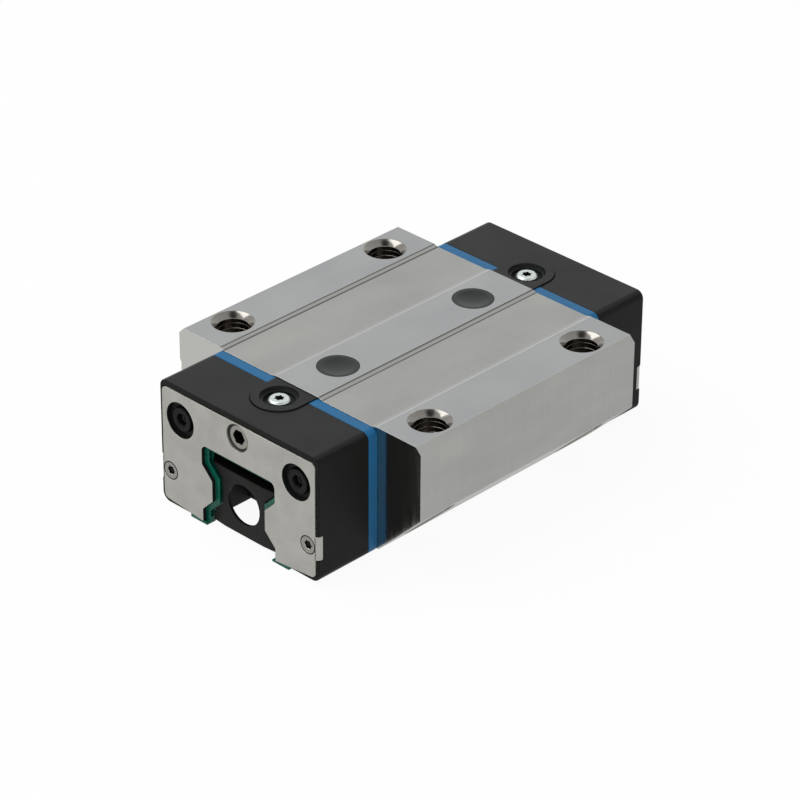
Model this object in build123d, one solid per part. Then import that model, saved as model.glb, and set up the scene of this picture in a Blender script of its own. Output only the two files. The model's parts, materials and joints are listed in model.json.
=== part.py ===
from build123d import *
from math import pi, radians, sqrt, tan
import os

# Flanged roller carriage for a size 25 profiled rail, with its mounting arbor inside.
# X runs across the rail, Y along it and Z up, in millimetres. The origin lies under the middle
# of the carriage, level with its lowest edge. "depth" is always measured down from the top face.

# Whole carriage
carriage_height = 30.0
carriage_length = 97.0
end_length = 16.75

# Steel body
flange_width = 70.0
top_chamfer = 1.4
flange_side_depth = 16.8
body_foot_gap = 1.4
strip_half_width = 6.1
flange_strip_inner = 22.7
strip_bevel = 1.4
relief_depth = 0.35
reference_edge_depth = 7.6
reference_step = 0.4

# Mounting holes
hole_spacing_x = 57.0
hole_end_distance = 9.25
thread_core_radius = 3.4
thread_mouth_radius = 4.6
spot_face_depth = 18.5
spot_face_radius = 5.2
centre_hole_spacing = 40.0
plug_radius = 4.5
plug_seat_depth = 2.4
plug_dish_radius = 3.9
plug_dish_depth = 0.5

# Rail that the carriage runs on
rail_top_height = 17.7
rail_head_half = 9.5
rail_corner_radius = 0.3
rail_waist_half = 6.55
rail_waist_rise = 2.88
rail_mid_height = 8.9

# Rollers and their circuits
roller_diameter = 3.5
roller_length = 4.0
roller_play = 0.01
roller_pitch = 3.6
channel_play = 0.1
turn_radius = 4.7
upper_turn_start = 0.65
lower_turn_extra = 5.5
loaded_flat_count = 10
hidden_flat_count = 6
return_tube_radius = 3.15
track_half_width = 12.0
track_roof_gap = 1.1
nose_half_width = 9.15
guide_roof_gap = 0.8
guide_rail_gap = 0.4

# End stack, from the steel outwards
turn_plate_thickness = 2.45
plate_thickness = 1.0
seal_thickness = 1.6
cap_half_width = 23.0
cap_top_depth = 0.45
cap_foot_gap = 0.55
cap_top_radius = 1.8
cap_bottom_radius = 2.0
cap_rim_set_back = 0.3
cap_rail_gap = 0.5

# End plate
plate_side_rim = 0.8
plate_top_rim = 1.3
plate_bottom_rim = 1.05
plate_rail_gap = 1.15
plate_corner_radius = 1.3
bead_height = 0.5
tab_half_height = 2.75
tab_length = 1.4
tab_root = 3.0
ledge_inner = 4.1
ledge_outer = 12.8
ledge_rise = 0.5
ledge_drop = 0.35

# End seal
seal_half_width = 14.4
seal_bore_gap = 0.4
seal_corner_cut = 3.0
lip_thickness = 0.45
lip_rail_gap = 0.05
bead_overlap = 1.0

# Lubrication port on top of each cap
port_radius = 5.9
port_offset = 4.9
port_top_depth = 0.2
port_thickness = 2.6
port_step_radius = 4.05
port_step_depth = 0.7
port_recess_radius = 3.3
port_recess_depth = 1.5
lube_bore_depth = 5.1
lube_hole_radius = 3.1
lube_bore_length = 6.5
lube_duct_radius = 1.2

# Fasteners
cap_screw_x = 16.85
cap_screw_depth = 8.1
cap_screw_radius = 1.5
cap_screw_grip = 7.5
cap_head_radius = 2.75
cap_head_height = 3.0
cap_head_recess = 0.4
cap_head_hole_radius = 4.05
cap_hex_across_flats = 2.5
cap_hex_depth = 1.5
plate_screw_x = 20.05
plate_screw_height = 8.7
plate_head_radius = 2.05
plate_screw_radius = 1.0
plate_screw_length = 7.0
grub_radius = 3.0
grub_length = 5.0
grub_recess = 0.5
grub_chamfer = 0.5
grub_hex_across_flats = 3.0
grub_hex_depth = 2.5
port_head_radius = 2.3
port_head_height = 1.1
port_head_chamfer = 0.4
port_screw_radius = 1.25
port_screw_length = 4.6
star_outer_radius = 1.15
star_inner_radius = 0.8
star_depth = 0.9
hole_run_out = 1.0

# Long seals under the body
long_seal_thickness = 0.75
long_seal_outer = 17.0
long_seal_rail_gap = 0.9

# Mounting arbor
arbor_rail_gap = -0.3
arbor_head_side = 0.15
arbor_foot_gap = 1.0
arbor_end_inset = 1.5
arbor_wall = 1.8
arbor_end_wall = 2.0
arbor_leg_height = 5.9
arbor_rib_gap = 2.25
arbor_rib_thickness = 1.5
arbor_hole_radius = 4.6
arbor_hole_drop = 0.5
arbor_lead_half = 5.6
arbor_lead_depth = 0.35

# Clearances
seat_gap = 0.05
thread_gap = 0.02

# How far a cutting shape reaches past the face it starts from
overcut = 1.0

# Places worked out from the sizes above
body_length = carriage_length - 2 * end_length
hole_spacing_y = body_length - 2 * hole_end_distance
body_end = body_length / 2
cap_joint = body_end + turn_plate_thickness
front_face = carriage_length / 2
cap_front = front_face - cap_rim_set_back
plate_back = front_face - plate_thickness
seal_back = plate_back - seal_thickness
port_y = cap_joint + port_offset - turn_plate_thickness
diagonal = 1 / sqrt(2)

# Depths of what follows the rail or stands on the lowest edge, so that the rail stays where it is
# when the carriage gets higher
body_depth = carriage_height - body_foot_gap
rail_top_depth = carriage_height - rail_top_height
rail_mid_depth = carriage_height - rail_mid_height
track_roof_depth = rail_top_depth - track_roof_gap
guide_top_depth = track_roof_depth + guide_roof_gap
cap_bottom_depth = carriage_height - cap_foot_gap
plate_foot_depth = carriage_height - bead_height
plate_screw_depth = carriage_height - plate_screw_height
tab_top_depth = plate_screw_depth - tab_half_height
tab_bottom_depth = plate_screw_depth + tab_half_height
seal_top_depth = lube_bore_depth + lube_hole_radius + seal_bore_gap
arbor_flank = rail_waist_rise + rail_head_half - rail_waist_half - arbor_rail_gap * tan(radians(22.5))
arbor_top_depth = rail_mid_depth - arbor_flank - arbor_head_side
arbor_bottom_depth = carriage_height - arbor_foot_gap
arbor_leg_depth = carriage_height - arbor_leg_height
arbor_hole_depth = rail_mid_depth + arbor_hole_drop


def height(depth):
    """Turn a depth under the top face into a height above the lowest edge."""
    return carriage_height - depth


def both_halves(half):
    """Close an outline whose right half runs from the top middle to the bottom middle."""
    left = [(-x, depth) for x, depth in reversed(half) if x > 0]
    return half + left


def outline(points):
    """Flat face across the rail, from points that each hold x and depth."""
    return Plane.XZ * make_face(Polyline(*[(x, height(depth)) for x, depth in points], close=True))


def along(face, start, end):
    """Extrude a face that stands across the rail from one place along it to another."""
    return extrude(Pos(0, start, 0) * face, amount=end - start, dir=(0, 1, 0))


def bar(points, start, end):
    """Straight bar along the rail with the given section."""
    return along(outline(points), start, end)


def rod(x, depth, radius, start, end):
    """Round rod along the rail."""
    circle = Pos(x, 0, height(depth)) * (Plane.XZ * Circle(radius))
    return along(circle, start, end)


def post(x, y, radius, top, bottom):
    """Upright round post between two depths."""
    return extrude(Pos(x, y, height(bottom)) * Circle(radius), amount=bottom - top)


def taper(x, y, top_radius, bottom_radius, top, bottom):
    """Upright cone between two depths."""
    middle = height((top + bottom) / 2)
    return Pos(x, y, middle) * Cone(bottom_radius, top_radius, bottom - top)


def left_and_right(piece):
    """A piece and its mirror image on the other side of the rail."""
    return [piece, mirror(piece, about=Plane.YZ)]


def rail_half(gap, top, bottom):
    """Right half of the rail's outline, grown by a gap, between two depths."""
    head = rail_head_half + gap
    waist = rail_waist_half + gap
    rise = rail_waist_rise - gap * tan(radians(22.5))
    flank = rise + head - waist
    return [
        (0, top),
        (head, top),
        (head, rail_mid_depth - flank),
        (waist, rail_mid_depth - rise),
        (waist, rail_mid_depth + rise),
        (head, rail_mid_depth + flank),
        (head, bottom),
        (0, bottom),
    ]


def rail_opening(gap, start, end):
    """Space that the rail and a gap round it take up, open at the bottom."""
    half = rail_half(gap, rail_top_depth - gap, carriage_height + overcut)
    space = bar(both_halves(half), start, end)
    upper_edges = space.edges().filter_by(Axis.Y).group_by(Axis.Z)[-1]
    return fillet(upper_edges, rail_corner_radius + gap)


def flank_middle():
    """Middle of the upper right flank of the rail, as x and depth."""
    x = (rail_head_half + rail_waist_half) / 2
    depth = rail_mid_depth - rail_waist_rise - (rail_head_half - rail_waist_half) / 2
    return x, depth


def roller_centre(row):
    """Centre of a loaded roller; row is 1 for the upper row and -1 for the lower row."""
    x, depth = flank_middle()
    reach = diagonal * roller_diameter / 2
    rise = depth + reach - rail_mid_depth
    return x + reach, rail_mid_depth + row * rise


def circuit_plane(row):
    """Plane of one roller circuit: its x points from the loaded run to the return run."""
    x, depth = roller_centre(row)
    origin = (x, 0, height(depth))
    return Plane(origin=origin, x_dir=(1, 0, -row), z_dir=(row, 0, 1))


def turn_start(row):
    """Distance from the steel's end face to the start of a turn; the lower rows pass outside."""
    if row > 0:
        return upper_turn_start
    return upper_turn_start + lower_turn_extra


def circuit_channel(row):
    """Closed channel that one row of rollers runs round in."""
    reach = 2 * (body_end + turn_start(row))
    width = roller_diameter + 2 * channel_play
    outer = SlotCenterToCenter(reach, 2 * turn_radius + width, rotation=90)
    inner = SlotCenterToCenter(reach, 2 * turn_radius - width, rotation=90)
    track = Pos(turn_radius, 0, 0) * (outer - inner)
    ring = extrude(track, amount=roller_length / 2 + channel_play, both=True)
    return circuit_plane(row) * ring


def roller_station(distance, reach):
    """Place in the circuit's plane at a distance along it from the middle of the loaded run."""
    turn = pi * turn_radius
    if distance <= reach:
        return 0, distance
    distance -= reach
    if distance <= turn:
        angle = distance / turn_radius
        spot = Vector(-turn_radius, 0).rotate(Axis.Z, -angle * 180 / pi)
        return turn_radius + spot.X, reach + spot.Y
    distance -= turn
    if distance <= 2 * reach:
        return 2 * turn_radius, reach - distance
    distance -= 2 * reach
    if distance <= turn:
        angle = distance / turn_radius
        spot = Vector(turn_radius, 0).rotate(Axis.Z, -angle * 180 / pi)
        return turn_radius + spot.X, -reach + spot.Y
    return 0, distance - turn - reach


def roller(u, v):
    """One roller, its round side cut into flats, fewer where it is out of sight."""
    radius = roller_diameter / 2 - roller_play
    loaded = u == 0 and abs(v) < body_end
    section = RegularPolygon(radius, loaded_flat_count if loaded else hidden_flat_count)
    return Pos(u, v, 0) * extrude(section, amount=roller_length / 2, both=True)


def roller_row(row):
    """All rollers of one circuit, spread evenly round it."""
    reach = body_end + turn_start(row)
    total = 4 * reach + 2 * pi * turn_radius
    count = int(total / roller_pitch)
    plane = circuit_plane(row)
    stations = [roller_station(total * i / count, reach) for i in range(count)]
    return [plane * roller(u, v) for u, v in stations]


def return_centre(row):
    """Centre of the return run of a circuit, as x and depth."""
    x, depth = roller_centre(row)
    shift = 2 * turn_radius * diagonal
    return x + shift, depth + row * shift


def return_tube(row):
    """Round plastic tube with a square bore for the returning rollers."""
    x, depth = return_centre(row)
    return rod(x, depth, return_tube_radius, -body_end, body_end) - circuit_channel(row)


def track_half():
    """Right half of the space between the body's legs, with the nose that carries both raceways."""
    x, depth = flank_middle()
    raceway = x + depth + roller_diameter / diagonal
    wall = raceway - track_half_width
    nose = raceway - nose_half_width
    return [
        (0, track_roof_depth),
        (track_half_width, track_roof_depth),
        (track_half_width, wall),
        (nose_half_width, nose),
        (nose_half_width, 2 * rail_mid_depth - nose),
        (track_half_width, 2 * rail_mid_depth - wall),
        (track_half_width, carriage_height),
        (0, carriage_height),
    ]


def body_section():
    """Outline of the steel body across the rail, without the space for the rail."""
    half_width = flange_width / 2
    foot = half_width - (body_depth - flange_side_depth)
    relief_inner = strip_half_width + strip_bevel
    relief_outer = flange_strip_inner - strip_bevel
    right = [
        (0, 0),
        (strip_half_width, 0),
        (relief_inner, relief_depth),
        (relief_outer, relief_depth),
        (flange_strip_inner, 0),
        (half_width - top_chamfer, 0),
        (half_width, top_chamfer),
        (half_width, flange_side_depth),
        (foot, body_depth),
        (0, body_depth),
    ]
    section = outline(both_halves(right))
    inset = half_width - reference_step
    step = [
        (-half_width - overcut, reference_edge_depth),
        (-half_width, reference_edge_depth),
        (-inset, reference_edge_depth + 2 * reference_step),
        (-inset, flange_side_depth + reference_step),
        (-half_width - overcut, flange_side_depth + reference_step),
    ]
    return section - outline(step)


def flange_hole(x, y):
    """Tapped hole with a countersunk mouth and a spot face milled into the sloping underside."""
    mouth = thread_mouth_radius - thread_core_radius
    hole = post(x, y, thread_core_radius, -overcut, spot_face_depth + overcut)
    hole += taper(x, y, thread_mouth_radius, thread_core_radius, 0, mouth)
    hole += post(x, y, spot_face_radius, spot_face_depth, carriage_height)
    return hole


def carriage_body():
    """Hardened steel body with raceways, return bores and mounting holes."""
    body = along(body_section(), -body_end, body_end)
    body -= bar(both_halves(track_half()), -body_end, body_end)
    for row in (1, -1):
        x, depth = return_centre(row)
        for side in (1, -1):
            body -= rod(side * x, depth, return_tube_radius + seat_gap, -body_end, body_end)
    for side in (1, -1):
        for end in (1, -1):
            body -= flange_hole(side * hole_spacing_x / 2, end * hole_spacing_y / 2)
            bore_start = end * body_end
            bore_end = end * (body_end - cap_screw_grip - hole_run_out)
            bore_radius = cap_screw_radius + thread_gap
            body -= rod(side * cap_screw_x, cap_screw_depth, bore_radius, bore_start, bore_end)
    for end in (1, -1):
        y = end * centre_hole_spacing / 2
        body -= post(0, y, plug_radius, -overcut, plug_seat_depth)
        body -= post(0, y, thread_core_radius, plug_seat_depth - overcut, track_roof_depth + overcut)
    return body


def centre_plug():
    """Plastic plug with a hollow dish in its top, that closes one centre hole."""
    y = -centre_hole_spacing / 2
    plug = post(0, y, plug_radius - thread_gap, seat_gap, plug_seat_depth)
    ball_radius = (plug_dish_radius ** 2 + plug_dish_depth ** 2) / (2 * plug_dish_depth)
    ball_middle = seat_gap + plug_dish_depth - ball_radius
    return plug - Pos(0, y, height(ball_middle)) * Sphere(ball_radius)


def roller_guides():
    """Sections of the three plastic strips that guide the rollers' ends, on the right side."""
    x, depth = roller_centre(1)
    half = diagonal * roller_length / 2
    play = channel_play / diagonal
    outer_plane = x - depth + 2 * half + play
    inner_plane = x - depth - 2 * half - play
    wall = track_half_width - seat_gap
    flank_x, flank_depth = flank_middle()
    raceway = flank_x + flank_depth + roller_diameter / diagonal - 2 * seat_gap
    heel = (raceway + outer_plane) / 2
    face = rail_head_half + guide_rail_gap
    upper = [
        (face, guide_top_depth),
        (wall, guide_top_depth),
        (wall, raceway - wall),
        (heel, raceway - heel),
        (face, face - outer_plane),
    ]
    lower = [(px, 2 * rail_mid_depth - pd) for px, pd in upper[2:]]
    lower += [(face, body_depth), (wall, body_depth)]
    root = nose_half_width - seat_gap
    tip = rail_waist_half + guide_rail_gap
    centre = [
        (root, root - inner_plane),
        (tip, tip - inner_plane),
        (tip, 2 * rail_mid_depth - tip + inner_plane),
        (root, 2 * rail_mid_depth - root + inner_plane),
    ]
    return {"upper": upper, "centre": centre, "lower": lower}


def long_seal():
    """Strip with a wiping edge under the right leg of the body."""
    tip = rail_head_half + long_seal_rail_gap
    bottom = body_depth + long_seal_thickness
    section = [
        (tip, body_depth + long_seal_thickness / 2),
        (tip + long_seal_thickness, body_depth),
        (long_seal_outer, body_depth),
        (long_seal_outer, bottom),
        (tip, bottom),
    ]
    return bar(section, -body_end, body_end)


def cap_section():
    """Outline of the end caps and turn plates, with rounded corners."""
    corners = [
        (-cap_half_width, cap_top_depth),
        (cap_half_width, cap_top_depth),
        (cap_half_width, cap_bottom_depth),
        (-cap_half_width, cap_bottom_depth),
    ]
    face = outline(corners)
    by_height = face.vertices().group_by(Axis.Z)
    face = fillet(by_height[-1], cap_top_radius)
    return fillet(face.vertices().group_by(Axis.Z)[0], cap_bottom_radius)


def port_outline(grow):
    """Tongue-shaped outline of the port block, seen from above, from the steel outwards."""
    radius = port_radius + grow
    tongue = Pos(0, -port_y, 0) * Circle(radius)
    length = port_y - body_end
    tongue += Pos(0, -port_y + length / 2, 0) * Rectangle(2 * radius, length)
    return tongue - Pos(0, -body_end + radius) * Rectangle(4 * radius, 2 * radius)


def port_pocket():
    """Space for the port block in the turn plate and the cap."""
    bottom = port_top_depth + port_thickness
    face = Pos(0, 0, height(bottom)) * port_outline(seat_gap)
    return extrude(face, amount=bottom)


def circuits():
    """Channels of all four roller circuits as one tool."""
    tool = circuit_channel(1) + circuit_channel(-1)
    return tool + mirror(tool, about=Plane.YZ)


def turn_plate():
    """Blue plastic plate between the steel and the cap, with the rollers' ways through it."""
    plate = along(cap_section(), -cap_joint, -body_end)
    plate -= rail_opening(cap_rail_gap, -cap_joint, -body_end)
    plate -= circuits()
    plate -= port_pocket()
    for side in (1, -1):
        hole_radius = cap_screw_radius + seat_gap
        plate -= rod(side * cap_screw_x, cap_screw_depth, hole_radius, -cap_joint, -body_end)
    return plate


def plate_half(shrink):
    """Right half of the end plate's outline, with its sloping foot edge."""
    side = cap_half_width - plate_side_rim - shrink
    top = cap_top_depth + plate_top_rim + shrink
    corner = cap_bottom_depth - plate_bottom_rim - shrink
    foot = plate_foot_depth
    return [(0, top), (side, top), (side, corner), (rail_head_half, foot), (0, foot)]


def plate_blank(shrink, thickness_start, thickness_end):
    """End plate without holes, with rounded outer corners."""
    face = outline(both_halves(plate_half(shrink)))
    side = cap_half_width - plate_side_rim - shrink
    corners = [v for v in face.vertices() if abs(abs(v.X) - side) < seat_gap]
    return along(fillet(corners, plate_corner_radius), thickness_start, thickness_end)


def ledges(grow):
    """Two snap ledges on the cap's top rim that hold the end plate's top edge."""
    top = cap_top_depth + plate_top_rim - ledge_rise
    bottom = cap_top_depth + plate_top_rim + ledge_drop + grow
    section = [
        (ledge_inner - grow, top),
        (ledge_outer + grow, top),
        (ledge_outer + grow, bottom),
        (ledge_inner - grow, bottom),
    ]
    ledge = bar(section, -cap_front, -plate_back)
    return left_and_right(ledge)


def tab():
    """Right side tab of the end plate, folded back round the edge of the cap."""
    outside = cap_half_width
    inside = outside - plate_thickness
    corner = Pos(inside, -plate_back) * Circle(plate_thickness)
    corner &= rectangle_between(inside, outside, -front_face, -plate_back)
    shape = corner + rectangle_between(inside, outside, -plate_back, -front_face + tab_length)
    shape += rectangle_between(outside - tab_root, inside, -front_face, -plate_back)
    placed = Pos(0, 0, height(tab_bottom_depth)) * shape
    return extrude(placed, amount=tab_bottom_depth - tab_top_depth)


def tab_room():
    """Square room in the cap's edge for the folded tab."""
    bottom = tab_bottom_depth + seat_gap
    inside = cap_half_width - plate_thickness - seat_gap
    leg_end = -front_face + tab_length + seat_gap
    shape = rectangle_between(inside, cap_half_width + overcut, -front_face - overcut, leg_end)
    return extrude(Pos(0, 0, height(bottom)) * shape, amount=bottom - tab_top_depth + seat_gap)


def rectangle_between(x0, x1, y0, y1):
    """Flat rectangle between two places across and two places along the rail."""
    return Pos((x0 + x1) / 2, (y0 + y1) / 2) * Rectangle(abs(x1 - x0), abs(y1 - y0))


def end_plate():
    """Stainless sheet over the front of the cap."""
    plate = plate_blank(seat_gap, -front_face, -plate_back)
    for side_tab in left_and_right(tab()):
        plate += side_tab
    plate -= rail_opening(plate_rail_gap, -front_face, -plate_back)
    for ledge in ledges(seat_gap):
        plate -= ledge
    plate -= rod(0, lube_bore_depth, lube_hole_radius, -front_face, -plate_back)
    sink = plate_head_radius - plate_screw_radius
    for side in (1, -1):
        plate -= rod(side * cap_screw_x, cap_screw_depth, cap_head_hole_radius, -front_face, -plate_back)
        plate -= plate_screw_cone(side, plate_head_radius + seat_gap, sink)
    return plate


def plate_screw_cone(side, radius, length):
    """Cone of a countersunk plate screw, wide end flush with the front face."""
    cone = Cone(radius, radius - length, length)
    turned = Rot(-90, 0, 0) * cone
    return Pos(side * plate_screw_x, -front_face + length / 2, height(plate_screw_depth)) * turned


def seal_half(grow, bottom):
    """Right half of the seal's outline, with its upper corner cut off clear of the cap screws."""
    side = seal_half_width + grow
    top = seal_top_depth - grow
    return [
        (0, top),
        (side - seal_corner_cut, top),
        (side, top + seal_corner_cut),
        (side, bottom),
        (0, bottom),
    ]


def end_seal():
    """Rubber seal behind the end plate, with two wiping lips and a bead under each leg."""
    half = seal_half(0, cap_bottom_depth)
    seal = bar(both_halves(half), -plate_back, -seal_back)
    seal -= rail_opening(plate_rail_gap, -plate_back, -seal_back)
    for lip_front in (-plate_back, -seal_back - lip_thickness):
        lip_back = lip_front + lip_thickness
        ring = bar(both_halves(half), lip_front, lip_back)
        seal += ring - rail_opening(lip_rail_gap, lip_front, lip_back)
    for bead in left_and_right(seal_bead()):
        seal += bead
    return seal


def seal_bead():
    """Bead that closes the gap between the rail and the foot of the end plate."""
    side, corner = plate_half(seat_gap)[2]
    inner = rail_head_half + lip_rail_gap
    outer = rail_head_half + plate_rail_gap
    rise = (plate_foot_depth - corner) / (side - rail_head_half)
    outer_top = plate_foot_depth - rise * (seal_half_width - rail_head_half) + seat_gap
    section = [
        (inner, plate_foot_depth + seat_gap),
        (seal_half_width, outer_top),
        (seal_half_width, carriage_height),
        (inner, carriage_height),
    ]
    bead = bar(section, -front_face + 2 * seat_gap, -seal_back)
    top = cap_bottom_depth - bead_overlap
    lip = [(inner, top), (outer, top), (outer, carriage_height), (inner, carriage_height)]
    return bead + bar(lip, -plate_back, -seal_back)


def end_cap():
    """Black moulded cap that turns the rollers round and carries the seal and plate."""
    cap = along(cap_section(), -cap_front, -cap_joint)
    cap -= rail_opening(cap_rail_gap, -cap_front, -cap_joint)
    cap -= plate_blank(0, -front_face, -plate_back)
    for ledge in ledges(0):
        cap += ledge
    for room in left_and_right(tab_room()):
        cap -= room
    cap -= bar(both_halves(seal_half(seat_gap, carriage_height)), -plate_back, -seal_back)
    bead_room = [
        (0, plate_foot_depth - bead_overlap),
        (seal_half_width + seat_gap, plate_foot_depth - bead_overlap),
        (seal_half_width + seat_gap, carriage_height),
        (0, carriage_height),
    ]
    cap -= bar(both_halves(bead_room), -front_face, -plate_back)
    cap -= circuits()
    cap -= port_pocket()
    for side in (1, -1):
        head_end = -front_face + cap_head_recess + cap_head_height
        x = side * cap_screw_x
        cap -= rod(x, cap_screw_depth, cap_head_radius + seat_gap, -front_face, head_end)
        cap -= rod(x, cap_screw_depth, cap_screw_radius + seat_gap, -front_face, -cap_joint)
        screw_end = -front_face + plate_screw_length + hole_run_out
        hole_radius = plate_screw_radius + thread_gap
        cap -= rod(side * plate_screw_x, plate_screw_depth, hole_radius, -plate_back, screw_end)
    cap -= rod(0, lube_bore_depth, grub_radius + thread_gap, -front_face, -front_face + lube_bore_length)
    cap -= rod(0, lube_bore_depth, lube_duct_radius, -front_face, -port_y)
    screw_bottom = port_top_depth + port_recess_depth + port_screw_length + hole_run_out
    cap -= post(0, -port_y, port_screw_radius + thread_gap, cap_top_depth, screw_bottom)
    return cap


def port_block():
    """Port block on top of the cap: a flat tongue with a round, stepped recess for its screw."""
    bottom = port_top_depth + port_thickness
    block = extrude(Pos(0, 0, height(bottom)) * port_outline(0), amount=port_thickness)
    floor = port_top_depth + port_recess_depth
    block -= post(0, -port_y, port_step_radius, -overcut, port_top_depth + port_step_depth)
    block -= post(0, -port_y, port_recess_radius, -overcut, floor)
    return block - post(0, -port_y, port_screw_radius + thread_gap, 0, bottom + overcut)


def star_socket():
    """Flat outline of a six-pointed screw socket."""
    points = []
    for i in range(12):
        reach = star_outer_radius if i % 2 == 0 else star_inner_radius
        spot = Vector(reach, 0).rotate(Axis.Z, 30 * i)
        points.append((spot.X, spot.Y))
    return make_face(Polyline(*points, close=True))


def hex_socket(across_flats):
    """Flat outline of a hexagon socket."""
    return RegularPolygon(across_flats / 2, 6, major_radius=False)


def facing_front(face, x, depth, start, length):
    """Put a flat outline across the rail and extrude it inwards from a place on the front."""
    placed = Pos(x, 0, height(depth)) * (Plane.XZ * face)
    return along(placed, start, start + length)


def cap_screws():
    """Two socket head screws that hold the cap and the turn plate on the steel."""
    head_front = -front_face + cap_head_recess
    head_back = head_front + cap_head_height
    screw = rod(cap_screw_x, cap_screw_depth, cap_head_radius, head_front, head_back)
    screw += rod(cap_screw_x, cap_screw_depth, cap_screw_radius, head_back, -body_end + cap_screw_grip)
    socket = hex_socket(cap_hex_across_flats)
    screw -= facing_front(socket, cap_screw_x, cap_screw_depth, head_front, cap_hex_depth)
    return left_and_right(screw)


def plate_screws():
    """Two small countersunk screws that hold the end plate."""
    sink = plate_head_radius - plate_screw_radius
    screw = plate_screw_cone(1, plate_head_radius, sink)
    shank_end = -front_face + plate_screw_length
    screw += rod(plate_screw_x, plate_screw_depth, plate_screw_radius, -front_face + sink, shank_end)
    screw -= facing_front(star_socket(), plate_screw_x, plate_screw_depth, -front_face, star_depth)
    return left_and_right(screw)


def grub_screw():
    """Set screw that closes the lubrication bore in the front of the cap."""
    start = -front_face + grub_recess
    screw = rod(0, lube_bore_depth, grub_radius, start, start + grub_length)
    screw = chamfer(screw.faces().sort_by(Axis.Y)[0].edges(), grub_chamfer)
    socket = hex_socket(grub_hex_across_flats)
    return screw - facing_front(socket, 0, lube_bore_depth, start, grub_hex_depth)


def port_screw():
    """Button head screw in the recess of the port block."""
    floor = port_top_depth + port_recess_depth
    screw = post(0, -port_y, port_head_radius, floor - port_head_height, floor)
    screw = chamfer(screw.faces().sort_by(Axis.Z)[-1].edges(), port_head_chamfer)
    screw += post(0, -port_y, port_screw_radius, floor, floor + port_screw_length)
    socket = Pos(0, -port_y, height(floor - port_head_height + star_depth)) * star_socket()
    return screw - extrude(socket, amount=star_depth)


def mounting_arbor():
    """Plastic bar with the rail's section, hollow from below, that stands in for the rail."""
    end = front_face - arbor_end_inset
    half = rail_half(arbor_rail_gap, arbor_top_depth, arbor_bottom_depth)
    arbor = bar(both_halves(half), -end, end)
    inside = rail_waist_half + arbor_rail_gap - arbor_wall
    roof = arbor_top_depth + arbor_wall
    hollow = [(0, roof), (inside, roof), (inside, carriage_height), (0, carriage_height)]
    room_end = end - arbor_end_wall
    rib_near = room_end - arbor_rib_gap
    rib_far = rib_near - arbor_rib_thickness
    for start, stop in ((-room_end, -rib_near), (-rib_far, rib_far), (rib_near, room_end)):
        arbor -= bar(both_halves(hollow), start, stop)
    outside = rail_head_half + overcut
    below = [(0, arbor_leg_depth), (outside, arbor_leg_depth), (outside, carriage_height), (0, carriage_height)]
    arbor -= bar(both_halves(below), -room_end, room_end)
    for start, stop in ((-end, -room_end), (room_end, end)):
        arbor -= rod(0, arbor_hole_depth, arbor_hole_radius, start, stop)
    for lead in left_and_right(arbor_lead(end)):
        arbor -= lead
        arbor -= mirror(lead, about=Plane.XZ)
    return arbor


def arbor_lead(end):
    """Shallow wedge cut from the end of the arbor beside its middle, as a lead-in."""
    width = rail_head_half - arbor_lead_half
    wedge = Polyline(
        (arbor_lead_half, -end),
        (arbor_lead_half + width, -end + arbor_lead_depth),
        (arbor_lead_half + width, -end - overcut),
        (arbor_lead_half, -end - overcut),
        close=True,
    )
    return extrude(Pos(0, 0, height(carriage_height)) * make_face(wedge), amount=carriage_height)


def save(name, pieces):
    """Write one node; a node may hold several separate solids."""
    if not isinstance(pieces, list):
        pieces = [pieces]
    solids = [solid for piece in pieces for solid in piece.solids()]
    shape = solids[0] if len(solids) == 1 else Compound(children=solids)
    export_step(shape, "parts/" + name + ".step")


def front_and_rear(name, pieces):
    """Write the front copy of an end piece and its mirror image at the rear."""
    if not isinstance(pieces, list):
        pieces = [pieces]
    save("front_" + name, pieces)
    save("rear_" + name, [mirror(piece, about=Plane.XZ) for piece in pieces])


def side_nodes(name, pieces):
    """Write the right-hand node of a mirrored pair and its left-hand twin."""
    if not isinstance(pieces, list):
        pieces = [pieces]
    save("right_" + name, pieces)
    save("left_" + name, [mirror(piece, about=Plane.YZ) for piece in pieces])


os.makedirs("parts", exist_ok=True)

save("carriage_body", carriage_body())
front_and_rear("centre_plug", centre_plug())

side_nodes("upper_rollers", roller_row(1))
side_nodes("lower_rollers", roller_row(-1))
side_nodes("return_tubes", [return_tube(1), return_tube(-1)])
for guide_name, guide_section in roller_guides().items():
    side_nodes(guide_name + "_roller_guide", bar(guide_section, -body_end, body_end))
side_nodes("long_seal", long_seal())

front_and_rear("turn_plate", turn_plate())
front_and_rear("end_cap", end_cap())
front_and_rear("port_block", port_block())
front_and_rear("port_screw", port_screw())
front_and_rear("end_seal", end_seal())
front_and_rear("end_plate", end_plate())
front_and_rear("cap_screws", cap_screws())
front_and_rear("plate_screws", plate_screws())
front_and_rear("grub_screw", grub_screw())

save("mounting_arbor", mounting_arbor())
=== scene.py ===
import bpy
import json
from math import cos, hypot, pi, radians, sin
from mathutils import Matrix, Vector


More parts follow.
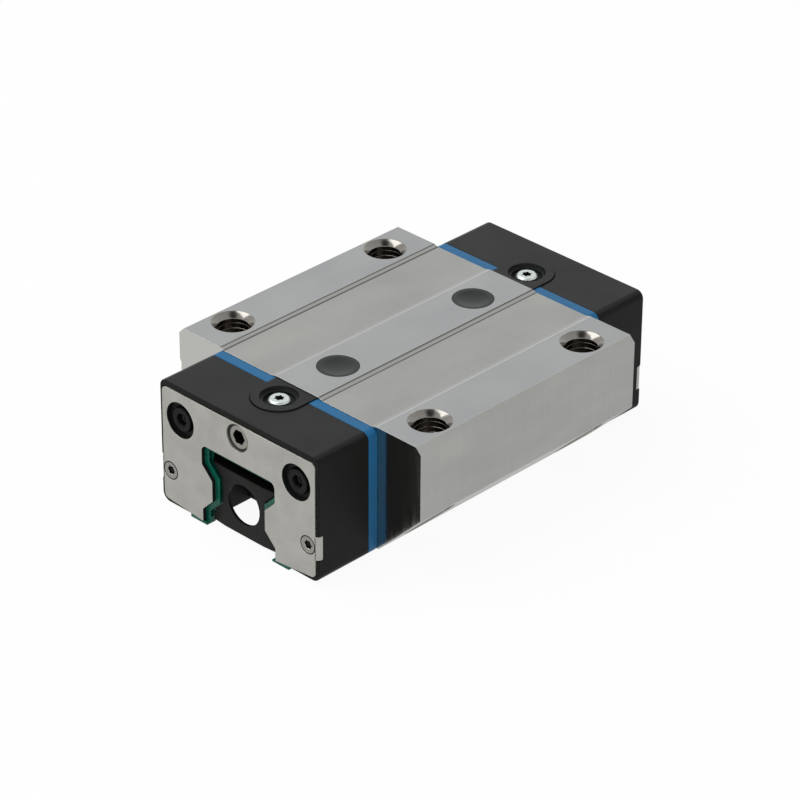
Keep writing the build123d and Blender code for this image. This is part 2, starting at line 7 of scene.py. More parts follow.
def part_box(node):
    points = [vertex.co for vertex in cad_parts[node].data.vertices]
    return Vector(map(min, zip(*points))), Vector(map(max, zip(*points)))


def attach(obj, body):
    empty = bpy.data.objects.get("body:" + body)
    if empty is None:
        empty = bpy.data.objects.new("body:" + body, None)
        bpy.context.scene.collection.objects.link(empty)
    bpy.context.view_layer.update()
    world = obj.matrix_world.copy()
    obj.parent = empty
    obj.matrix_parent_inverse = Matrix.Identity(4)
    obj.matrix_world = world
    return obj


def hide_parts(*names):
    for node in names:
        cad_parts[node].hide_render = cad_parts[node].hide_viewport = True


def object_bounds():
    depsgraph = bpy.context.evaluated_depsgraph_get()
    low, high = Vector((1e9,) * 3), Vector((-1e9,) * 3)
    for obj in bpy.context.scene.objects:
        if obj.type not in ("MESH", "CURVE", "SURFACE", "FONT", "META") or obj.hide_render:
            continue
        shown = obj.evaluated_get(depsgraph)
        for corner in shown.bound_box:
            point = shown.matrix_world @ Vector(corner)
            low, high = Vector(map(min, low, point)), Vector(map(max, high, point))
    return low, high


# Roller carriage on its mounting arbor: metres, X across the rail, Y along it, Z up.

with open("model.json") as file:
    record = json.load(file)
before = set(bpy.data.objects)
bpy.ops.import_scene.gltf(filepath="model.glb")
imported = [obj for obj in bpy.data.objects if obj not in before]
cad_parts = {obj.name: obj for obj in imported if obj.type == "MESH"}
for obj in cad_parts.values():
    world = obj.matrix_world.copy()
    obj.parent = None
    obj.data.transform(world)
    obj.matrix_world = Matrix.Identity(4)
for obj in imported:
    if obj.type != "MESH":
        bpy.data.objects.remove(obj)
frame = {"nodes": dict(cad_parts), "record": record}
cad_low, cad_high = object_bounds()

MM = 0.001

# Places and sizes read from the frame
top = cad_high.z
front_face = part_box("front_end_plate")[0].y
grub_low, grub_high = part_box("front_grub_screw")
mounts = {mount["name"]: mount for mount in frame["record"]["mounts"]}
pattern = mounts["mounting_holes"]["dims"]
hole_x = pattern["spacing_x_mm"] * MM / 2
hole_y = pattern["spacing_y_mm"] * MM / 2
core_radius = pattern["hole_r_mm"] * MM

# Thread of the mounting holes, M8
thread_pitch = 1.25 * MM
thread_root_radius = 4.0 * MM
thread_start = 1.25 * MM
thread_end = 18.2 * MM

# Thread of the lubrication bores, M6 fine
lube_pitch = 0.75 * MM
lube_root_radius = 3.05 * MM
lube_ridge = 0.42 * MM

# Bevels beside the ground strips of the top face: where each starts at the strip, and its width
strip_edges = (-22.7, -6.1, 6.1, 22.7)
strip_bevel = 1.4

# Opening in the end plates: half its width, and the height of its top
opening_half = 10.75 * MM
opening_top = 19.05 * MM

# How far from its axis the cut steel of a mounting hole reaches
hole_reach = 5.3 * MM

# How far from its axis the painted shade in each hole of the end plates reaches
head_hole_reach = 4.2 * MM
sink_reach = 2.2 * MM

# How far from its screw's axis each driving socket, painted dark inside as shade, reaches
port_socket = 1.25 * MM
grub_socket = 1.8 * MM
cap_socket = 1.5 * MM
plate_socket = 1.15 * MM

# Width of the rim of painted shade round a plate screw's head
plate_shade_rim = 0.16 * MM

# Depths of the arbor's inner faces from its end, and how far each moves outwards: its end wall's,
# then its cross rib's far face before the near one, so that neither is moved twice
arbor_faces = ((2.0 * MM, 1.3 * MM), (5.75 * MM, -1.5 * MM), (4.25 * MM, -1.5 * MM))

# Distance within which two corners are one
touching = 0.001 * MM

# Steps of a turned shape, all the way round
ROUND = 48


def linear(code):
    """Linear red, green, blue and alpha of an sRGB colour written as six hex digits."""
    values = [int(code[i:i + 2], 16) / 255 for i in (0, 2, 4)]
    values = [v / 12.92 if v <= 0.04045 else ((v + 0.055) / 1.055) ** 2.4 for v in values]
    return (*values, 1.0)


def add_node(tree, kind, values=None, links=None, **settings):
    """Add a shader node with its settings, the values of its sockets and the links into them."""
    node = tree.nodes.new(kind)
    for name, value in settings.items():
        setattr(node, name, value)
    for name, value in (values or {}).items():
        node.inputs[name].default_value = value
    for name, source in (links or {}).items():
        tree.links.new(source, node.inputs[name])
    return node


def new_material(name):
    """Empty node material and its tree."""
    material = bpy.data.materials.new(name)
    material.use_nodes = True
    material.node_tree.nodes.clear()
    return material, material.node_tree


def pattern_noise(tree, size_mm, detail=2.0, stretch=(1, 1, 1)):
    """Noise whose spots are about size_mm across, longer along an axis by its stretch."""
    place = add_node(tree, "ShaderNodeTexCoord")
    scale = [1 / (size_mm * MM * s) for s in stretch]
    turned = add_node(tree, "ShaderNodeMapping", {"Scale": scale}, {"Vector": place.outputs["Object"]})
    values = {"Scale": 1.0, "Detail": detail, "Roughness": 0.55}
    noise = add_node(tree, "ShaderNodeTexNoise", values, {"Vector": turned.outputs["Vector"]})
    return noise.outputs["Fac"]


def between(tree, factor, low, high, start=0.3, stop=0.7):
    """Spread a factor over a range of numbers."""
    values = {"From Min": start, "From Max": stop, "To Min": low, "To Max": high}
    return add_node(tree, "ShaderNodeMapRange", values, {"Value": factor}).outputs["Result"]


def blend_colours(tree, factor, first, second, start=0.3, stop=0.7):
    """Go from one colour to another as a pattern rises from start to stop."""
    ramp = add_node(tree, "ShaderNodeValToRGB", links={"Fac": factor})
    ramp.color_ramp.elements[0].position = start
    ramp.color_ramp.elements[0].color = linear(first)
    ramp.color_ramp.elements[1].position = stop
    ramp.color_ramp.elements[1].color = linear(second)
    return ramp.outputs["Color"]


def bump(tree, factor, height_mm, below=None):
    """Bump whose full height is a real height in millimetres."""
    links = {"Height": factor}
    if below:
        links["Normal"] = below
    values = {"Strength": 1.0, "Distance": height_mm * MM}
    return add_node(tree, "ShaderNodeBump", values, links).outputs["Normal"]


def close_surface(tree, values, links):
    """Principled surface with its constants and patterns, wired to the output."""
    shader = add_node(tree, "ShaderNodeBsdfPrincipled", values, links)
    add_node(tree, "ShaderNodeOutputMaterial", links={"Surface": shader.outputs["BSDF"]})


def ground_bearing_steel():
    """Hardened bearing steel, surface ground: even light grey, with fine lines across the rail."""
    material, tree = new_material("bearing_steel_ground")
    lines = pattern_noise(tree, 0.5, 3.0, (40, 1, 40))
    clouds = pattern_noise(tree, 14, 2.0, (1, 1.6, 1))
    colour = blend_colours(tree, clouds, "9B9D9E", "A5A7A7")
    rough = between(tree, lines, 0.3, 0.42)
    links = {"Base Color": colour, "Roughness": rough, "Normal": bump(tree, lines, 0.006)}
    close_surface(tree, {"Metallic": 1.0}, links)
    return material


def bevelled_bearing_steel():
    """Bevels beside the ground strips: a dark line of painted shade at both edges of the
    bevels that face right, and a painted highlight along the upper edge of the others."""
    material, tree = new_material("bearing_steel_bevel_painted_lines")
    place = add_node(tree, "ShaderNodeTexCoord")
    parts = add_node(tree, "ShaderNodeSeparateXYZ", links={"Vector": place.outputs["Object"]})
    reach = 24.0
    across = between(tree, parts.outputs["X"], 0.0, 1.0, -reach * MM, reach * MM)
    # Stripes across X: dark is painted shade, bright is painted highlight, plain is the steel itself
    plain, dark, bright = linear("9E9F9D"), linear("605E59"), linear("C0C0BE")
    shade_width, highlight_width = 0.28, 0.3
    stops = []
    for edge, outwards in zip(strip_edges, (1, -1, 1, -1)):
        foot = edge + outwards * strip_bevel
        if outwards > 0:
            stops += [(edge, dark), (edge + shade_width, dark), (edge + shade_width + 0.05, plain)]
            stops += [(foot - shade_width - 0.05, plain), (foot - shade_width, dark), (foot + 0.1, dark)]
        else:
            stops += [(foot, plain), (edge - highlight_width, plain), (edge - highlight_width + 0.05, bright)]
            stops += [(edge + 0.1, bright)]
    ramp = add_node(tree, "ShaderNodeValToRGB", links={"Fac": across})
    stops = [((at + reach) / (2 * reach), colour) for at, colour in stops]
    elements = ramp.color_ramp.elements
    elements[0].position, elements[0].color = stops[0]
    elements[1].position, elements[1].color = stops[-1]
    for at, colour in stops[1:-1]:
        elements.new(at).color = colour
    links = {"Base Color": ramp.outputs["Color"]}
    close_surface(tree, {"Metallic": 1.0, "Roughness": 0.38}, links)
    return material


def milled_bearing_steel():
    """Bearing steel, fine milled: a little warmer and duller, with cutter lines across the rail."""
    material, tree = new_material("bearing_steel_milled")
    lines = pattern_noise(tree, 0.7, 3.0, (60, 1, 60))
    clouds = pattern_noise(tree, 11, 3.0, (1, 2, 0.7))
    colour = blend_colours(tree, clouds, "9A9B98", "A3A4A0")
    rough = between(tree, lines, 0.34, 0.46)
    links = {"Base Color": colour, "Roughness": rough, "Normal": bump(tree, lines, 0.007)}
    close_surface(tree, {"Metallic": 1.0}, links)
    return material


def lapped_bearing_steel():
    """Bearing steel, fine ground end face: nearly a mirror, with faint upright scratches."""
    material, tree = new_material("bearing_steel_lapped")
    scratches = pattern_noise(tree, 0.6, 3.0, (1, 1, 30))
    rough = between(tree, scratches, 0.1, 0.2)
    links = {"Roughness": rough, "Normal": bump(tree, scratches, 0.002)}
    close_surface(tree, {"Metallic": 1.0, "Base Color": linear("B4B4B0")}, links)
    return material


def turned_steel():
    """Cut steel inside the holes: brighter and smoother than the faces round it."""
    material, tree = new_material("bearing_steel_cut")
    rings = pattern_noise(tree, 0.25, 2.0, (12, 12, 1))
    rough = between(tree, rings, 0.12, 0.2)
    links = {"Roughness": rough, "Normal": bump(tree, rings, 0.004)}
    close_surface(tree, {"Metallic": 1.0, "Base Color": linear("827F7A")}, links)
    return material


def moulded_plastic(name, dark, light, rough, shine=0.5, grain_height=0.012):
    """Injection moulded plastic with a fine spark-eroded grain, here drawn 0.35 mm coarse."""
    material, tree = new_material(name)
    grain = pattern_noise(tree, 0.35, 3.0)
    flow = pattern_noise(tree, 9, 2.0)
    colour = blend_colours(tree, flow, dark, light)
    roughness = between(tree, flow, rough - 0.05, rough + 0.06)
    links = {"Base Color": colour, "Roughness": roughness, "Normal": bump(tree, grain, grain_height)}
    close_surface(tree, {"IOR": 1.5, "Specular IOR Level": shine}, links)
    return material


def moulded_rubber():
    """Nitrile rubber, moulded: deep green, smooth and slightly waxy."""
    material, tree = new_material("nitrile_rubber_moulded")
    waves = pattern_noise(tree, 1.2, 2.0)
    colour = blend_colours(tree, waves, "00483B", "00604C")
    links = {"Base Color": colour, "Normal": bump(tree, waves, 0.02)}
    close_surface(tree, {"Roughness": 0.34, "IOR": 1.52, "Specular IOR Level": 0.22}, links)
    return material


def rolled_stainless():
    """Stainless sheet, cold rolled: matt and warm, with a fine grain and no direction."""
    material, tree = new_material("stainless_sheet_rolled")
    grain = pattern_noise(tree, 0.3, 4.0)
    clouds = pattern_noise(tree, 5, 3.0)
    colour = blend_colours(tree, clouds, "A2A19B", "ADACA6")
    rough = between(tree, grain, 0.4, 0.55)
    links = {"Base Color": colour, "Roughness": rough, "Normal": bump(tree, grain, 0.008)}
    close_surface(tree, {"Metallic": 1.0}, links)
    return material


def fastener_steel(name, dark, light, rough):
    """Cold headed screw steel: small spots of wear in an even coat."""
    material, tree = new_material(name)
    spots = pattern_noise(tree, 0.4, 3.0)
    colour = blend_colours(tree, spots, dark, light)
    roughness = between(tree, spots, rough - 0.06, rough + 0.08)
    links = {"Base Color": colour, "Roughness": roughness, "Normal": bump(tree, spots, 0.006)}
    close_surface(tree, {"Metallic": 1.0}, links)
    return material


STEEL = ground_bearing_steel()
# Bevel steel striped with painted shade and painted highlight
BEVELLED = bevelled_bearing_steel()
MILLED = milled_bearing_steel()
LAPPED = lapped_bearing_steel()
CUT = turned_steel()
BLACK = moulded_plastic("acetal_black_moulded", "0F1011", "131415", 0.42, 0.18)
# Darker, matter copy of the black for the end caps' faces not turned up: painted shade
BLACK_SIDE_SHADE = moulded_plastic("acetal_black_side_painted_shade", "0F0E0E", "141312", 0.5, 0.1)
BLUE = moulded_plastic("acetal_blue_moulded", "105C8A", "156493", 0.4, 0.22)
PLUG = moulded_plastic("polyamide_plug_moulded", "191B1C", "1E2021", 0.38, 0.26)
GUIDE = moulded_plastic("polyamide_guide_moulded", "1A1A1C", "202022", 0.45)
ARBOR = moulded_plastic("polypropylene_arbor_moulded", "0E0C0B", "13110F", 0.55, 0.16, 0.02)
RUBBER = moulded_rubber()
SHEET = rolled_stainless()
BLACK_SCREW = fastener_steel("screw_steel_black_oxide", "161617", "1F1F20", 0.45)
ZINC = fastener_steel("screw_steel_zinc_plated", "C2CAC6", "D2D9D5", 0.42)
GREY_SCREW = fastener_steel("screw_steel_passivated", "85827D", "96948F", 0.3)
# Dark steel for the thread ridges deep in the mounting holes: painted shade
THREAD_SHADE = fastener_steel("thread_steel_painted_shade", "5F5953", "6E6861", 0.3)
# Dark steel for socket insides, head rims and the bore's thread: painted shade
SOCKET_SHADE = fastener_steel("socket_steel_painted_shade", "2A2C2B", "383A39", 0.45)
# Near-black for the cut edges of the end plates' opening and screw holes: painted shade
EDGE_SHADE = moulded_plastic("plate_edge_painted_shade", "0D1110", "131716", 0.6, 0.15)
ROLLER = fastener_steel("roller_steel_lapped", "A9A9A6", "B5B5B2", 0.12)


def deselect():
    """Nothing selected."""
    for piece in bpy.context.selected_objects:
        piece.select_set(False)


def activate(piece):
    """Only this piece selected and active."""
    deselect()
    piece.select_set(True)
    bpy.context.view_layer.objects.active = piece


def apply_modifier(piece, kind, **settings):
    """Add a modifier, set it and apply it."""
    activate(piece)
    modifier = piece.modifiers.new(kind.lower(), kind)
    for name, value in settings.items():
        setattr(modifier, name, value)
    bpy.ops.object.modifier_apply(modifier=modifier.name)


def copy_of(node, name):
    """Copy of a CAD node's mesh with its triangles joined and its flat faces whole again."""
    piece = bpy.data.objects.new(name, frame["nodes"][node].data.copy())
    bpy.context.scene.collection.objects.link(piece)
    piece.data.materials.clear()
    activate(piece)
    bpy.ops.object.mode_set(mode="EDIT")
    bpy.ops.mesh.select_all(action="SELECT")
    bpy.ops.mesh.remove_doubles(threshold=touching)
    bpy.ops.mesh.dissolve_limited(angle_limit=radians(0.5))
    bpy.ops.object.mode_set(mode="OBJECT")
    return piece


def break_edges(piece, width_mm, segments=2, crisp=None):
    """Round every sharp edge a little, as the real edges are, and shade the flats flat.

    Faces that pass the crisp test keep a hard line all round them."""
    apply_modifier(
        piece, "BEVEL", width=width_mm * MM, segments=segments, limit_method="ANGLE",
        angle_limit=radians(28), use_clamp_overlap=False, miter_outer="MITER_ARC",
        loop_slide=False,
    )
    activate(piece)
    bpy.ops.object.shade_smooth_by_angle(angle=radians(50))
    if crisp:
        hard = {key for polygon in piece.data.polygons if crisp(polygon) for key in polygon.edge_keys}
        for edge in piece.data.edges:
            if edge.key in hard:
                edge.use_edge_sharp = True
    apply_modifier(piece, "WEIGHTED_NORMAL", keep_sharp=True, weight=100)


def hand_over(piece, material, node, body="carriage"):
    """Give a piece its material and put it in place of its CAD node."""
    if not piece.data.materials:
        piece.data.materials.append(material)
    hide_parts(node)
    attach(piece, body)


def end_cap(node):
    """End cap: its top smooth, its other faces matter and darker, a copy of the black that paints shade on
    the faces not turned up.
    """
    piece = copy_of(node, node + "_finished")
    break_edges(piece, 0.22)
    piece.data.materials.append(BLACK)
    piece.data.materials.append(BLACK_SIDE_SHADE)
    # Faces turned up less than this take the darker copy, as painted shade
    level = 0.75
    for polygon in piece.data.polygons:
        polygon.material_index = int(polygon.normal.z < level)
    hand_over(piece, BLACK, node)


def dressed(node, width_mm, material):
    """CAD node copied, with its edges broken, in its own material."""
    piece = copy_of(node, node + "_finished")
    break_edges(piece, width_mm)
    hand_over(piece, material, node)


def in_hole(point, centre, low, high):
    """Whether a point lies at a distance from a hole's axis between low and high."""
    distance = hypot(point.x - centre[0], point.y - centre[1])
    return low < distance < high


def open_for_thread(piece, centre):
    """Widen a mounting hole below its mouth to the root of the thread."""
    slack = 0.03 * core_radius
    low, high = core_radius - slack, core_radius + slack
    step = top - thread_start
    corners = piece.data.vertices
    for polygon in piece.data.polygons:
        polygon.select = all(in_hole(corners[i].co, centre, low, high) for i in polygon.vertices)
    activate(piece)
    bpy.ops.object.mode_set(mode="EDIT")
    bpy.ops.mesh.bisect(plane_co=(0, 0, step), plane_no=(0, 0, 1))
    bpy.ops.mesh.select_all(action="DESELECT")
    bpy.ops.object.mode_set(mode="OBJECT")
    for vertex in piece.data.vertices:
        below = vertex.co.z < step + 0.01 * MM
        vertex.select = below and in_hole(vertex.co, centre, low, high)
    bpy.ops.object.mode_set(mode="EDIT")
    bpy.context.tool_settings.mesh_select_mode = (True, False, False)
    factor = thread_root_radius / core_radius
    bpy.ops.transform.resize(value=(factor, factor, 1), center_override=(*centre, step))
    bpy.ops.object.mode_set(mode="OBJECT")


def thread_ridge(name, root, height, pitch, turns, place, lean=0.0):
    """Ridge of a thread that winds down from a place inside a hole; lean turns its axis about X."""
    deselect()
    bpy.ops.mesh.primitive_circle_add(vertices=4, radius=1, fill_type="NGON", rotation=(pi / 2, 0, 0))
    ridge = bpy.context.active_object
    ridge.name = name
    bpy.ops.object.transform_apply(location=False, rotation=True, scale=False)
    base, tip = 0.46 * pitch, 0.1 * pitch
    bury = 0.04 * MM
    inwards = -height - bury
    corners = [(0, -base), (0, base), (inwards, tip), (inwards, -tip)]
    for vertex, (outwards, upwards) in zip(ridge.data.vertices, corners):
        vertex.co = (outwards + root + bury, 0, upwards)
    apply_modifier(
        ridge, "SCREW", angle=2 * pi * turns, screw_offset=-pitch * turns, axis="Z",
        steps=int(ROUND * turns), render_steps=int(ROUND * turns), use_smooth_shade=True,
    )
    activate(ridge)
    bpy.ops.object.mode_set(mode="EDIT")
    bpy.ops.mesh.select_all(action="SELECT")
    bpy.ops.mesh.remove_doubles(threshold=touching)
    bpy.ops.mesh.fill_holes(sides=4)
    bpy.ops.mesh.select_all(action="SELECT")
    bpy.ops.mesh.normals_make_consistent(inside=False)
    bpy.ops.object.mode_set(mode="OBJECT")
    ridge.location = place
    ridge.rotation_euler = (lean, 0, 0)
    bpy.ops.object.transform_apply(location=True, rotation=True, scale=False)
    bpy.ops.object.shade_smooth_by_angle(angle=radians(30))
    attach(ridge, "carriage")
    return ridge


def mounting_thread(number, centre):
    """M8 thread inside a mounting hole, its ridge darker than the cut steel round it: painted shade deep in
    the hole.
    """
    turns = (thread_end - thread_start) / thread_pitch - 1
    place = (*centre, top - thread_start - thread_pitch / 2)
    ridge = thread_ridge(
        f"mounting_thread_{number}", thread_root_radius, thread_root_radius - core_radius,
        thread_pitch, turns, place,
    )
    ridge.data.materials.append(THREAD_SHADE)


def lubrication_thread(end, facing):
    """Turn of thread that shows in the lubrication bore in front of its set screw, painted dark as shade.
    """
    middle = (grub_low.z + grub_high.z) / 2
    turns = 1.6
    place = (0, facing * (-front_face - 0.48 * lube_pitch), middle)
    ridge = thread_ridge(
        end + "bore_thread", lube_root_radius, lube_ridge, lube_pitch, turns, place, -facing * pi / 2,
    )
    ridge.data.materials.append(SOCKET_SHADE)


def strip_bevel_face(polygon):
    """Whether a face is one of the bevels beside the ground strips."""
    foot_depth, least_slope, most_slope, level = 0.5 * MM, 0.15, 0.35, 0.02
    near_top = polygon.center.z > top - foot_depth
    sloping = least_slope < abs(polygon.normal.x) < most_slope
    return near_top and sloping and abs(polygon.normal.y) < level


def steel_body():
    """Steel body with broken edges, threaded holes and the finish of each of its faces."""
    piece = copy_of("carriage_body", "carriage_body_finished")
    holes = [(side * hole_x, end * hole_y) for side in (-1, 1) for end in (-1, 1)]
    for centre in holes:
        open_for_thread(piece, centre)
    break_edges(piece, 0.07, crisp=strip_bevel_face)
    for material in (STEEL, MILLED, LAPPED, CUT, BEVELLED):
        piece.data.materials.append(material)
    ground, milled, lapped, cut, bevelled = range(5)
    strip_height, square = 0.1 * MM, 0.99
    for polygon in piece.data.polygons:
        middle, normal = polygon.center, polygon.normal
        near_hole = any(in_hole(middle, centre, 0, hole_reach) for centre in holes)
        on_strip = normal.z > square and middle.z > top - strip_height
        if strip_bevel_face(polygon):
            polygon.material_index = bevelled
        elif near_hole and not on_strip:
            polygon.material_index = cut
        elif abs(normal.y) > square:
            polygon.material_index = lapped
        elif on_strip:
            polygon.material_index = ground
        else:
            polygon.material_index = milled
    hand_over(piece, STEEL, "carriage_body")
    for number, centre in enumerate(holes, 1):
        mounting_thread(number, centre)


def screw_middles(node):
    """Middles of a mirrored pair of screws, as X and Z, from the box round both heads."""
    low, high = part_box(node)
    radius = (high.z - low.z) / 2
    return [(side * (high.x - radius), low.z + radius) for side in (-1, 1)]


def sheet_plate(end):
    """End plate, the cut edge of its opening and of its screw holes painted near-black as shade."""
    node = end + "end_plate"
    piece = copy_of(node, node + "_finished")
    break_edges(piece, 0.08)
    piece.data.materials.append(SHEET)
    piece.data.materials.append(EDGE_SHADE)
    head_holes, sinks = screw_middles(end + "cap_screws"), screw_middles(end + "plate_screws")
    upright, sunk = 0.3, 0.95
    for polygon in piece.data.polygons:
        middle, facing = polygon.center, abs(polygon.normal.y)
        in_painted_shade = abs(middle.x) < opening_half and middle.z < opening_top and facing < upright
        for x, z in head_holes:
            in_painted_shade = in_painted_shade or (hypot(middle.x - x, middle.z - z) < head_hole_reach and facing < upright)
        for x, z in sinks:
            in_painted_shade = in_painted_shade or (hypot(middle.x - x, middle.z - z) < sink_reach and facing < sunk)
        polygon.material_index = int(in_painted_shade)
    hand_over(piece, SHEET, node)


def socket_screw(node, width_mm, material, axis, outwards, middles, reach, rim=1.0):
    """Screw whose driving socket is painted dark inside as shade, and also what lies outside its rim's
    radius, as shade round the head.

    The axis is 1 for Y and 2 for Z."""
    piece = copy_of(node, node + "_finished")
    break_edges(piece, width_mm)
    piece.data.materials.append(material)
    piece.data.materials.append(SOCKET_SHADE)
    spare = 0.02 * MM
    face = max(outwards * vertex.co[axis] for vertex in piece.data.vertices)
    across = [i for i in range(3) if i != axis]
    for polygon in piece.data.polygons:
        place = polygon.center
        deep = face - outwards * place[axis] > width_mm * MM + spare
        away = min(hypot(place[across[0]] - a, place[across[1]] - b) for a, b in middles)
        polygon.material_index = int(deep and away < reach or away > rim)
    hand_over(piece, material, node)


def middle_of(node, first, second):
    """Middle of a node's box along two axes."""
    low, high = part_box(node)
    return (low[first] + high[first]) / 2, (low[second] + high[second]) / 2


def end_screws(end, facing):
    """All the screws of one end, each with its own finish."""
    port, grub = end + "port_screw", end + "grub_screw"
    socket_screw(port, 0.03, ZINC, 2, 1, [middle_of(port, 0, 1)], port_socket)
    socket_screw(grub, 0.06, GREY_SCREW, 1, facing, [middle_of(grub, 0, 2)], grub_socket)
    heads, plates = end + "cap_screws", end + "plate_screws"
    socket_screw(heads, 0.3, BLACK_SCREW, 1, facing, screw_middles(heads), cap_socket)
    rim = (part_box(plates)[1].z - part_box(plates)[0].z) / 2 - plate_shade_rim
    middles = screw_middles(plates)
    socket_screw(plates, 0.2, GREY_SCREW, 1, facing, middles, plate_socket, rim)


def roller_circuit(node):
    """Rollers of a circuit, shaded round."""
    piece = copy_of(node, node + "_finished")
    bpy.ops.object.shade_smooth_by_angle(angle=radians(40))
    hand_over(piece, ROLLER, node)


def move_where(piece, test, operator, **settings):
    """Use a transform on the corners of a piece that pass a test on their place."""
    for polygon in piece.data.polygons:
        polygon.select = False
    for edge in piece.data.edges:
        edge.select = False
    for vertex in piece.data.vertices:
        vertex.select = test(vertex.co)
    activate(piece)
    bpy.ops.object.mode_set(mode="EDIT")
    bpy.context.tool_settings.mesh_select_mode = (True, False, False)
    operator(**settings)
    bpy.ops.object.mode_set(mode="OBJECT")


def arbor_bar():
    """Mounting arbor, its end walls as thin as moulded ones are and its cross ribs farther in."""
    piece = copy_of("mounting_arbor", "mounting_arbor_finished")
    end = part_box("mounting_arbor")[1].y
    near = 0.02 * MM
    for depth, shift in arbor_faces:
        for facing in (-1, 1):
            move_where(
                piece, lambda place: abs(facing * place.y - (end - depth)) < near,
                bpy.ops.transform.translate, value=(0, facing * shift, 0),
            )
    break_edges(piece, 0.05)
    hand_over(piece, ARBOR, "mounting_arbor", "arbor")


def finish_inside():
    """Materials of the guides, tubes and long seals, which keep their own meshes."""
    finishes = {
        "return_tubes": GUIDE,
        "upper_roller_guide": GUIDE,
        "centre_roller_guide": GUIDE,
        "lower_roller_guide": GUIDE,
        "long_seal": RUBBER,
    }
    for side in ("right_", "left_"):
        for name, material in finishes.items():
            mesh = frame["nodes"][side + name].data
            mesh.materials.clear()
            mesh.materials.append(material)


def pale_floor():
    """White floor that keeps a light shadow where the camera and the steel see it."""
    deselect()
    bpy.ops.mesh.primitive_plane_add(size=8, location=(0, 0, cad_low.z - 0.02 * MM))
    floor = bpy.context.active_object
    floor.name = "studio_floor"
    material, tree = new_material("studio_paper_white")
    rays = add_node(tree, "ShaderNodeLightPath")
    seen = add_node(
        tree, "ShaderNodeMath", links={0: rays.outputs["Is Camera Ray"], 1: rays.outputs["Is Glossy Ray"]},
        operation="MAXIMUM",
    )
    paper = add_node(tree, "ShaderNodeBsdfDiffuse", {"Color": linear("F2F2F2")})
    glow = add_node(tree, "ShaderNodeEmission", {"Color": linear("FFFFFF"), "Strength": 1.0})
    glow_share = 0.94
    share = add_node(tree, "ShaderNodeMath", {1: glow_share}, {0: seen.outputs[0]}, operation="MULTIPLY")
    mixed = add_node(
        tree, "ShaderNodeMixShader",
        links={"Fac": share.outputs[0], 1: paper.outputs["BSDF"], 2: glow.outputs["Emission"]},
    )
    add_node(tree, "ShaderNodeOutputMaterial", links={"Surface": mixed.outputs["Shader"]})
    floor.data.materials.append(material)


def studio_world():
    """White surroundings for the camera and for what metal shows, and a calmer light for the rest.

    The metal sees them a little brighter low down, and a black flag over the front."""
    world = bpy.data.worlds.new("white_studio")
    bpy.context.scene.world = world
    world.use_nodes = True
    tree = world.node_tree
    tree.nodes.clear()
    rays = add_node(tree, "ShaderNodeLightPath")
    seen = add_node(
        tree, "ShaderNodeMath", links={0: rays.outputs["Is Camera Ray"], 1: rays.outputs["Is Glossy Ray"]},
        operation="MAXIMUM",
    )
    clear = add_node(
        tree, "ShaderNodeMath", links={0: seen.outputs[0], 1: rays.outputs["Is Transmission Ray"]},
        operation="MAXIMUM",
    )
    soft = add_node(tree, "ShaderNodeBackground", {"Color": linear("FFFFFF"), "Strength": 0.55})
    place = add_node(tree, "ShaderNodeTexCoord")
    parts = add_node(tree, "ShaderNodeSeparateXYZ", links={"Vector": place.outputs["Generated"]})
    low_strength, high_strength = 1.15, 0.85
    rising = between(tree, parts.outputs["Z"], low_strength, high_strength, 0.1, 0.9)
    flag_middle = Vector((0.35, -0.37, 0.86)).normalized()
    flag_edge, flag_core, flag_strength = cos(radians(24)), cos(radians(9)), 0.1
    towards = add_node(
        tree, "ShaderNodeVectorMath", {1: flag_middle}, {0: place.outputs["Generated"]},
        operation="DOT_PRODUCT",
    )
    flag = between(tree, towards.outputs["Value"], 1.0, flag_strength, flag_edge, flag_core)
    reflected = add_node(
        tree, "ShaderNodeMath", links={0: rising, 1: flag}, operation="MULTIPLY",
    ).outputs[0]
    clear_sky = add_node(
        tree, "ShaderNodeMath", links={0: rays.outputs["Is Camera Ray"], 1: reflected}, operation="MAXIMUM",
    )
    white = add_node(
        tree, "ShaderNodeBackground", {"Color": linear("FFFFFF")}, {"Strength": clear_sky.outputs[0]},
    )
    mixed = add_node(
        tree, "ShaderNodeMixShader",
        links={"Fac": clear.outputs[0], 1: soft.outputs["Background"], 2: white.outputs["Background"]},
    )
    add_node(tree, "ShaderNodeOutputWorld", links={"Surface": mixed.outputs["Shader"]})


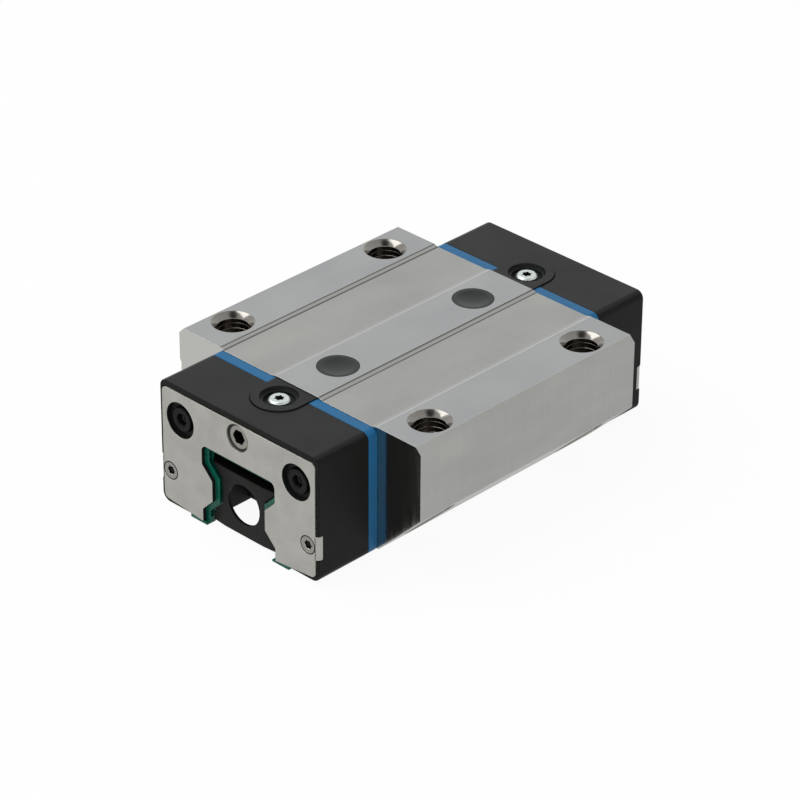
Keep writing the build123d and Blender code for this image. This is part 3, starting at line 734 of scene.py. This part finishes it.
def softbox(name, place, size, power):
    """Square studio light that faces the carriage."""
    lamp = bpy.data.lights.new(name, "AREA")
    lamp.size = size
    lamp.energy = power
    holder = bpy.data.objects.new(name, lamp)
    bpy.context.scene.collection.objects.link(holder)
    holder.location = place
    holder.rotation_euler = (Vector((0, 0, 0)) - Vector(place)).to_track_quat("-Z", "Y").to_euler()


def photo_camera():
    """Camera at the photograph's angle, worked out from the carriage's own edges in it."""
    azimuth, elevation, roll = radians(44.2556), radians(30.5531), radians(0.3257)
    distance, across, upwards = 788.631 * MM, -1.370 * MM, -14.189 * MM
    back = Vector((sin(azimuth) * cos(elevation), -cos(azimuth) * cos(elevation), sin(elevation)))
    right = Vector((cos(azimuth), sin(azimuth), 0))
    up = back.cross(right)
    turned_right = cos(roll) * right + sin(roll) * up
    turned_up = cos(roll) * up - sin(roll) * right
    focal_pixels, picture_pixels, sensor = 3808.911, 800, 36
    lens = bpy.data.cameras.new("photo_camera")
    lens.sensor_width = sensor
    lens.lens = focal_pixels / picture_pixels * sensor
    lens.clip_start = 0.01
    camera = bpy.data.objects.new("photo_camera", lens)
    bpy.context.scene.collection.objects.link(camera)
    place = across * turned_right + upwards * turned_up + distance * back + Vector((0, 0, top))
    axes = Matrix((turned_right, turned_up, back)).transposed()
    camera.matrix_world = Matrix.Translation(place) @ axes.to_4x4()
    bpy.context.scene.camera = camera


steel_body()
for end, facing in (("front_", -1), ("rear_", 1)):
    end_cap(end + "end_cap")
    dressed(end + "turn_plate", 0.12, BLUE)
    dressed(end + "port_block", 0.14, BLACK)
    sheet_plate(end)
    dressed(end + "end_seal", 0.1, RUBBER)
    dressed(end + "centre_plug", 0.14, PLUG)
    end_screws(end, facing)
    lubrication_thread(end, facing)
for side in ("right_", "left_"):
    roller_circuit(side + "upper_rollers")
    roller_circuit(side + "lower_rollers")
arbor_bar()
finish_inside()

pale_floor()
studio_world()
softbox("key_softbox", (-0.35, -0.25, 0.75), 0.6, 4.0)
softbox("fill_softbox", (0.7, -0.6, 0.35), 0.5, 0.9)
photo_camera()
bpy.context.scene.view_settings.view_transform = "Standard"
